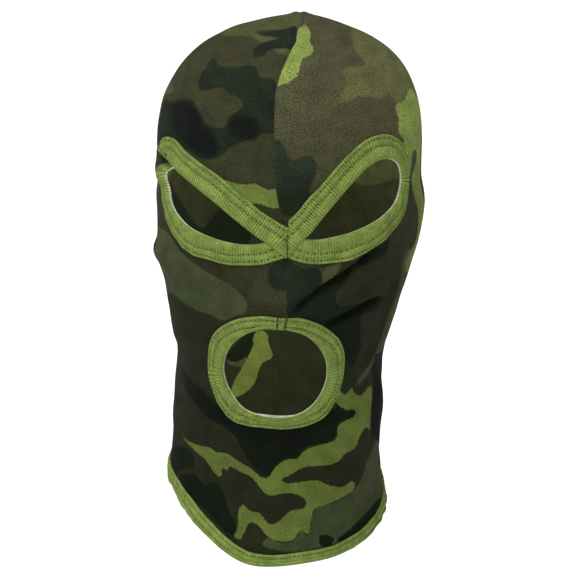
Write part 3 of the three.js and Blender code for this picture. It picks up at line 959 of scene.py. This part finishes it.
def jersey_facts(azimuth, share, side, sway):
    """What the jersey's material reads from each point: the print, the stretch, the strain and the weave."""
    form = form_point(azimuth, share)
    x, y, z = form.T
    bridge = np.exp(-(x / BRIDGE_HALF_WIDTH) ** 2 - ((z - BRIDGE_HEIGHT) / BRIDGE_HALF_HEIGHT) ** 2) * (y < 0)
    slack = np.where(side < 0, RIGHT_SLACK * smoothstep(z, *RIGHT_SLACK_HEIGHTS), 0)
    # Painted shade: the band at the brow lowers the stretch and so darkens the print there.
    brow = np.exp(-((z - BROW_HEIGHT) / BROW_HALF_HEIGHT) ** 2) * smoothstep(-y, 0, BROW_REACH)
    stretch = smoothstep(z, *STRETCH_HEIGHTS) * (1 - slack - BROW_SLACK_AND_SHADE * brow) + BRIDGE_STRETCH * bridge
    girth = (station(HALF_WIDTH, share) + station(FRONT, share)) / 2
    return {
        **print_depths(form, azimuth, side),
        "stretch": np.clip(stretch, 0, 1),
        "strain": bridge * smoothstep(-x, *STRAIN_EDGE),
        "weave": np.column_stack([(azimuth - sway) * girth, share * DROP, 0 * share]),
    }


def make_hood():
    azimuth, share, side, sway = hood_grid()
    quads = cut_holes(azimuth, share)
    facts = jersey_facts(azimuth, share, side, sway)
    outer = hood_point(azimuth, share, 0)
    inner = hood_point(azimuth, share, -FABRIC)

    used = np.unique(quads)
    total = len(used)
    order = np.full(len(share), -1)
    order[used] = np.arange(total)
    quads, crown = order[quads], order[::ROWS]
    directed = np.concatenate([quads[:, [a, (a + 1) % 4]] for a in range(4)])
    _, first, uses = np.unique(np.sort(directed, axis=1), axis=0, return_index=True, return_counts=True)
    rim = directed[first[uses == 1]]
    rim = rim[~np.isin(rim, crown).all(1)]
    faces = quads.tolist() + (quads[:, ::-1] + total).tolist()
    faces += [(b, a, a + total, b + total) for a, b in rim.tolist()]
    for a, b in zip(crown.tolist(), np.roll(crown, -1).tolist()):
        faces += [(2 * total, a, b), (2 * total + 1, b + total, a + total)]

    top = outer[::ROWS].mean(0)
    points = np.vstack([outer[used], inner[used], [top, top - [0, 0, FABRIC]]])
    rows = np.concatenate([used, used, [0, 0]])  # the two closing points take after the grid's first
    attributes = {key: values[rows] for key, values in facts.items()}
    attributes["inside"] = np.repeat([0, 1, 0, 1], [total, total, 1, 1])
    mesh = make_mesh("jersey_hood", points, faces, attributes)
    return add_piece("jersey_hood", mesh, jersey, "jersey", "hood_panel")


hood = make_hood()

# ---------------------------------------------------------------- bindings and stitches

STITCH_INSET, STITCH_GAUGE, STITCH_LENGTH = 2.0, 4.0, 2.9  # from the strip's outer edge, and between the rows
CROSSING, SETTLING = 11.5, 9  # how much of an upper strip lies over the lower one, and how soon it is down
LIFT = 1.3  # by one folded strip
SEAM_PLACE, SEAM_GAP = 0.5, 0.12  # where the eyes' strips meet, and half the gap between them
MIDDLE_CLEAR = 1.2  # threads end this far from the middle

# The strip's cross-section from its outer raw edge over the fold to its inner raw edge: a distance from the
# outer edge or the fold, and an offset from the jersey's outer face. Stitches pull it down in two furrows.
FURROW = 0.86
OUTER_HALF = [
    (0, 0.15), (0.1, 0.75), (0.5, 1.1), (1.3, 1.22), (2.0, FURROW), (2.7, 1.25), (4.0, 1.38), (5.3, 1.25),
    (6.0, FURROW), (6.7, 1.25),
]
FOLD = [
    (2.6, 1.45), (1.5, 1.42), (0.7, 1.15), (0.15, 0.7), (-0.12, 0.15), (-0.2, -0.45), (-0.12, -1.0),
    (0.15, -1.5), (0.7, -1.9), (1.5, -2.08), (2.6, -2.1),
]
INNER_HALF = [(6.8, -2.0), (6.0, -1.8), (4.0, -2.08), (2.0, -1.8), (0.6, -1.9), (0, -1.15)]
LINING = [(0, -1.06), (4.0, -1.06)]
FOLD_LINING = [(2.4, -1.08), (1.1, -0.95), (0.8, -0.5), (1.1, -0.05), (2.4, 0.08)]
LINING_BACK = [(4.0, 0.06), (0, 0.06)]
PALE_BACK_AND_HIGHLIGHT_FROM = (0.2, 0.7)  # how far under the jersey's outer face the strip's pale back turns out, painted near white as a highlight on the fold too
SWAYING = 1.5  # the section sways beyond this distance from the fold

# The unevenness of a strip: its strength, how far apart its bumps are, and a seed.
UNEVEN = {
    "rib_place": (0.9, 13, 35), "rib_height": (0.3, 12, 34), "pucker": (0.16, 9, 31),
    "long_pucker": (0.12, 23, 32), "edge": (0.14, 16, 33),
}
RIB_HEIGHT = {"left_eye": 0.14, "right_eye": 0.14, "mouth": 0.11, "hem": 0.03}
USUAL_RIB = 0.85
# How high the ribs are over and under an eye, at its strip's start and in the middle of the mouth's, and
# between which places that changes: shares of the length, distances along it and distances from the middle.
OVER_EYE, UNDER_EYE, UNDER_EYE_FROM = 1.1, 0.6, (0.45, 0.6)
START_RIB, START_UNTIL = 0.6, (8, 20)
MIDDLE_RIB, MIDDLE_UNTIL = 0.35, (12, 28)
# A needle's hole is deeper than the furrow that it is in; both are darkened with painted shade, the hole
# most.
HOLE_RADIUS, FURROW_PAINTED_SHADE, HOLE_DEPTH = 0.65, 0.25, 0.3
# Where a closed strip's two ends meet, as the places along it in millimetres.
JOINS = {"mouth": (-0.5, 3.0)}
# Each join is a dent in the strip, darkened with painted shade.
JOIN_HALF_WIDTH, JOIN_DEPTH, JOIN_PAINTED_SHADE = 0.45, 0.9, 0.8


def section_of(width):
    """The section's distances from the finished edge, its offsets, and which points are on its skin."""
    rows = []
    for part, from_outside, skin in (
        (OUTER_HALF, True, True), (FOLD, False, True), (INNER_HALF, True, True),
        (LINING, True, False), (FOLD_LINING, False, False), (LINING_BACK, True, False),
    ):
        for place, offset in part:
            distance = width - place if from_outside else np.full_like(width, place)
            rows.append((distance, offset, skin))
    distance = np.stack([row[0] for row in rows], 1)
    offset = np.array([row[1] for row in rows])
    skin = np.array([row[2] for row in rows])
    return distance, offset, skin


def lift_of(rim, name):
    """How far each place of a strip is lifted where it lies over the other end of itself."""
    if name not in EYES:
        return np.zeros(rim.count)
    along = np.arange(rim.count) * PATH_STEP
    return LIFT * (1 - smoothstep(along, CROSSING, CROSSING + SETTLING))


def finish_strip(mesh, side):
    """Turns the faces outward. An eye's strip is first cut at the long seam, and the cut is closed."""
    work = bmesh.new()
    work.from_mesh(mesh)
    if side:
        place, facing = Vector(((SEAM_PLACE + side * SEAM_GAP) * MM, 0, 0)), Vector((-side, 0, 0))
        whole = [*work.verts, *work.edges, *work.faces]
        bmesh.ops.bisect_plane(work, geom=whole, plane_co=place, plane_no=facing, clear_outer=True)
        bmesh.ops.holes_fill(work, edges=[edge for edge in work.edges if edge.is_boundary], sides=0)
    bmesh.ops.recalc_face_normals(work, faces=work.faces)
    work.to_mesh(mesh)
    work.free()


def side_of(name):
    return EYES[name]["side"] if name in EYES else 0


def stitches_of(rim):
    """How many stitches a rim has, and how many steps of its path one takes."""
    count = int(rim.length / STITCH_LENGTH)
    return count, rim.count / count


def needle_holes(rim):
    """How near each place of a rim is to one of the needle's holes, from 0 to 1."""
    stitch = np.arange(rim.count) / stitches_of(rim)[1]
    return np.exp(-((stitch - np.round(stitch)) * STITCH_LENGTH / HOLE_RADIUS) ** 2)


def rib_height(name, rim, along):
    height = np.full(rim.count, RIB_HEIGHT[name])
    if name in EYES:
        height *= mix(OVER_EYE, UNDER_EYE, smoothstep(along / rim.length, *UNDER_EYE_FROM))
        height *= mix(START_RIB, 1, smoothstep(along, *START_UNTIL))
    if name == "mouth":
        aside = np.abs(rim.path[:, 0] - rim.path[:, 0].mean())
        height *= mix(MIDDLE_RIB, 1, smoothstep(aside, *MIDDLE_UNTIL))
    return height[:, None]


def make_binding(name, rim):
    distance, offset, skin = section_of(rim.width)
    along = np.arange(rim.count) * PATH_STEP
    turn = 2 * np.pi * along / rim.length
    circle = np.column_stack([np.cos(turn), np.sin(turn)]) * rim.length / (2 * np.pi)
    uneven = {
        key: strength * waves(circle, spacing, seed)[:, None]
        for key, (strength, spacing, seed) in UNEVEN.items()
    }
    outward_sign = np.where(offset > -FABRIC / 2, 1, -1)
    rib = np.cos((turn * round(rim.length / WEAVE))[:, None] + uneven["rib_place"]) * skin
    rib = rib * rib_height(name, rim, along) * (USUAL_RIB + uneven["rib_height"])
    pucker = (uneven["pucker"] + uneven["long_pucker"]) * (offset > 0.5)
    # How deep the needle holes and furrows are pressed in, and how much painted shade darkens them.
    holes = mix(FURROW_PAINTED_SHADE, 1, needle_holes(rim))[:, None] * (offset == FURROW)
    height = offset + outward_sign * (lift_of(rim, name)[:, None] + rib + skin * pucker) - HOLE_DEPTH * holes
    for place in JOINS.get(name, ()):
        gap = np.abs((along - place + rim.length / 2) % rim.length - rim.length / 2)
        join = np.exp(-(gap / JOIN_HALF_WIDTH) ** 2)[:, None] * (offset > 0.3)
        height = height - JOIN_DEPTH * join
        holes = np.maximum(holes, JOIN_PAINTED_SHADE * join)
    distance = distance + uneven["edge"] * (distance > SWAYING)
    across = np.concatenate([[0], np.cumsum(np.hypot(np.diff(distance[0]), np.diff(offset)))])
    attributes = {
        "hole": holes.ravel(),
        "rib": (rib / RIB_HEIGHT["left_eye"]).ravel(),
        # Where the strip turns under: its pale back and a painted highlight on the fold.
        "pale_back_and_highlight": np.tile(smoothstep(-offset, *PALE_BACK_AND_HIGHLIGHT_FROM) * skin, rim.count),
        "weave": np.stack(np.broadcast_arrays(along[:, None], across, 0 * distance), -1).reshape(-1, 3),
    }
    points = rim.points(np.arange(rim.count)[:, None], distance, height)
    mesh = make_mesh(name + "_strip", points, tube_faces(rim.count, len(offset), rim.closed), attributes)
    finish_strip(mesh, side_of(name))
    return add_piece(name + "_strip", mesh, binding, "binding", name + "_binding")


THREAD_RADIUS, THREAD_SIDES = 0.27, 6
# One needle stitch, which dives into the strip at both ends: the share of its length, its height above the
# jersey, and its share of the thread's thickness.
STITCH = np.array([
    (0.04, 0.40, 0.6), (0.1, 0.85, 0.9), (0.25, 1.15, 1), (0.5, 1.23, 1), (0.75, 1.15, 1), (0.9, 0.85, 0.9),
    (0.96, 0.40, 0.6),
])
# The looper thread swings between the two rows and rests at each, a little ahead or behind, and lies inside.
LOOPER_STEPS, LOOPER_SWING, LOOPER_LAG, LOOPER_OFFSET, LOOPER_WAVE = 8, 1.25, 0.12, -2.6, 0.15
LOOPER_CLEAR = 2  # stitches without a looper at each end of an open strip


def make_stitch_row(name, row, rim, inset):
    """A row of needle stitches, each a short thread."""
    lift = lift_of(rim, name)
    count, pitch = stitches_of(rim)
    share, height, thick = STITCH.T
    points, faces = [], []
    for stitch in range(count):
        index = (stitch + share) * pitch
        place = rim.nearest_step(index)
        line = rim.points(index, rim.width[place] - inset, height + lift[place])
        if name in EYES and (line[:, 0] * side_of(name)).min() < MIDDLE_CLEAR:
            continue
        faces += tube_faces(len(share), THREAD_SIDES, start=len(points) * THREAD_SIDES * len(share))
        points.append(thread_rings(line, THREAD_RADIUS * thick, THREAD_SIDES))
    mesh = make_mesh(f"{name}_{row}_row", np.array(points), faces)
    return add_piece(f"{name}_{row}_row", mesh, thread, "thread", f"{name}_{row}_stitch")


def make_looper(name, rim):
    """The looper thread inside, which zigzags between the two rows and ties every stitch."""
    count, pitch = stitches_of(rim)
    clear = 0 if rim.closed else LOOPER_CLEAR
    stitches = np.arange(clear * LOOPER_STEPS, (count - clear) * LOOPER_STEPS) / LOOPER_STEPS
    turn = 2 * np.pi * stitches
    index = (stitches + LOOPER_LAG * np.sin(2 * turn)) * pitch
    place = rim.nearest_step(index)
    swing = np.clip(LOOPER_SWING * np.sin(turn), -1, 1) * STITCH_GAUGE / 2
    middle = rim.width[place] - STITCH_INSET - STITCH_GAUGE / 2
    low = LOOPER_OFFSET - lift_of(rim, name)[place] + LOOPER_WAVE * np.cos(2 * turn)
    line = rim.points(index, middle + swing, low)
    if name in EYES:
        line = line[line[:, 0] * side_of(name) > MIDDLE_CLEAR]
    rings = thread_rings(line, THREAD_RADIUS, THREAD_SIDES, rim.closed)
    mesh = make_mesh(name + "_looper", rings, tube_faces(len(line), THREAD_SIDES, rim.closed))
    return add_piece(name + "_looper", mesh, thread, "thread", name + "_looper_thread")


def make_trim(name, rim):
    """A hole's or the hem's strip, its two rows of stitches and the looper thread that ties them."""
    return [
        make_binding(name, rim),
        make_stitch_row(name, "outer", rim, STITCH_INSET),
        make_stitch_row(name, "inner", rim, STITCH_INSET + STITCH_GAUGE),
        make_looper(name, rim),
    ]


trims = {name: make_trim(name, rim) for name, rim in rims.items()}

# ---------------------------------------------------------------- the long seam, inside

SEAM_WIDTH, SEAM_THICK = 5.0, 1.1
SEAM_POINTS, SEAM_STEP = 320, 1.0
SEAM_FRONT_DEPTH = 152  # where the allowance ends over the mouth
SEAM_STRETCH = 0.5  # how stretched the allowance's jersey looks
# How much further in the allowance lies under the crossed strips, and the heights over which it gets there.
LAYERS, LAYERS_BELOW, LAYERS_ABOVE = LIFT + 1.5, (-134, -128), (-108, -102)
CLEARANCE = 0.1
OVERLOCK_END = 4  # how many of the seam's points it leaves free at each end
OVERLOCK_PITCH, OVERLOCK_STEPS, OVERLOCK_RADIUS, OVERLOCK_SIDES = 2.2, 8, 0.2, 5


def seam_line(offset):
    """Points down the inside of the seam from the nape, across the crown, to over the mouth."""
    stops = np.linspace(-share_at(NAPE_DEPTH), share_at(SEAM_FRONT_DEPTH), SEAM_POINTS)
    share = np.abs(stops)
    z = FABRIC - station(DEPTH, share)
    front = stops > 0
    azimuth = np.where(front, seam_azimuth(share), np.pi)
    layers = LAYERS * smoothstep(z, *LAYERS_BELOW) * (1 - smoothstep(z, *LAYERS_ABOVE)) * front
    return hood_point(azimuth, share, offset - layers)


def make_allowance():
    """Both panels' turned-in edges, as one strip."""
    upper, lower = (seam_line(-FABRIC - CLEARANCE - low) for low in (0, SEAM_THICK))
    aside = np.array([SEAM_WIDTH / 2, 0, 0])
    points = np.stack([upper - aside, lower - aside, lower + aside, upper + aside], 1)
    count = points.shape[0] * points.shape[1]
    attributes = {ink: np.full(count, -FAR) for ink in (*FIELDS, "lime")}
    attributes["stretch"] = np.full(count, SEAM_STRETCH)
    attributes["weave"] = np.outer(np.arange(count) // 4 * SEAM_STEP, [0, 1, 0])
    mesh = make_mesh("seam_allowance", points, tube_faces(len(points), 4), attributes)
    return add_piece("seam_allowance", mesh, jersey, "jersey")


def make_overlock():
    """The thread that winds from side to side over the allowance."""
    low = seam_line(-FABRIC - CLEARANCE - SEAM_THICK - OVERLOCK_RADIUS)
    loops = int(len(low) / OVERLOCK_PITCH)
    index = np.linspace(OVERLOCK_END, len(low) - 1 - OVERLOCK_END, loops * OVERLOCK_STEPS)
    line = np.stack([np.interp(index, np.arange(len(low)), values) for values in low.T], 1)
    turn = np.arange(len(line)) * 2 * np.pi / OVERLOCK_STEPS
    line[:, 0] += np.cos(turn) * (SEAM_WIDTH / 2 + CLEARANCE)
    rings = thread_rings(line, OVERLOCK_RADIUS, OVERLOCK_SIDES)
    mesh = make_mesh("seam_overlock_thread", rings, tube_faces(len(line), OVERLOCK_SIDES))
    return add_piece("seam_overlock_thread", mesh, thread, "thread", "seam_overlock")


allowance = make_allowance()
overlock = make_overlock()

# ---------------------------------------------------------------- the sewn-on pieces, gathered in a list

sewn_on = [allowance, overlock]
for trim in trims.values():
    sewn_on += trim

# ---------------------------------------------------------------- studio

FLOOR_DROP = 300
FLOOR_SIDE = 60
FLOOR_GLOW = 0.15
SUN_ELEVATION, SUN_AZIMUTH = math.radians(64), math.radians(-34)
SUN_STRENGTH = 3.2
SUN_SPREAD = math.radians(40)
SKY_STRENGTH = 0.26
# The lamp inside stands for the light that comes through the thin jersey.
LAMP_PLACE, LAMP_RADIUS, LAMP_POWER, LAMP_COLOUR = Vector((-14, -5, -161)), 25, 0.25, (1.0, 0.95, 0.88)


def make_floor():
    floor = bpy.data.meshes.new("floor")
    low = cad_box[0].z - FLOOR_DROP * MM
    side = FLOOR_SIDE / 2
    corners = [(-side, -side, low), (side, -side, low), (side, side, low), (-side, side, low)]
    floor.from_pydata(corners, [], [(0, 1, 2, 3)])
    shader = Shader("studio_floor", Roughness=0.9)
    shader.feed(shader.surface.inputs["Base Color"], (0.93, 0.93, 0.93, 1))
    shader.feed(shader.surface.inputs["Emission Color"], (1, 1, 1, 1))
    shader.feed(shader.surface.inputs["Emission Strength"], FLOOR_GLOW)
    floor.materials.append(shader.material)
    piece = bpy.data.objects.new("floor", floor)
    collection.objects.link(piece)


def make_lights():
    sun = bpy.data.lights.new("key", "SUN")
    sun.energy = SUN_STRENGTH
    sun.angle = SUN_SPREAD
    key = bpy.data.objects.new("key", sun)
    across = math.cos(SUN_ELEVATION)
    south, east = -math.cos(SUN_AZIMUTH) * across, math.sin(SUN_AZIMUTH) * across
    toward = Vector((east, south, math.sin(SUN_ELEVATION)))
    key.rotation_euler = toward.to_track_quat("Z", "Y").to_euler()
    collection.objects.link(key)
    lamp = bpy.data.lights.new("glow", "POINT")
    lamp.energy = LAMP_POWER
    lamp.color = LAMP_COLOUR
    lamp.shadow_soft_size = LAMP_RADIUS * MM
    glow = bpy.data.objects.new("glow", lamp)
    glow.location = LAMP_PLACE * MM
    glow.visible_camera = False
    collection.objects.link(glow)
    world = bpy.data.worlds.new("studio")
    bpy.context.scene.world = world
    world.use_nodes = True
    tree = world.node_tree
    sky = tree.nodes["Background"]
    seen = tree.nodes.new("ShaderNodeLightPath")
    strength = tree.nodes.new("ShaderNodeMapRange")
    strength.inputs["To Min"].default_value = SKY_STRENGTH
    strength.inputs["To Max"].default_value = 1.0
    tree.links.new(seen.outputs["Is Camera Ray"], strength.inputs["Value"])
    tree.links.new(strength.outputs[0], sky.inputs["Strength"])
    sky.inputs["Color"].default_value = (1, 1, 1, 1)


make_floor()
make_lights()
bpy.context.scene.view_settings.view_transform = "Standard"
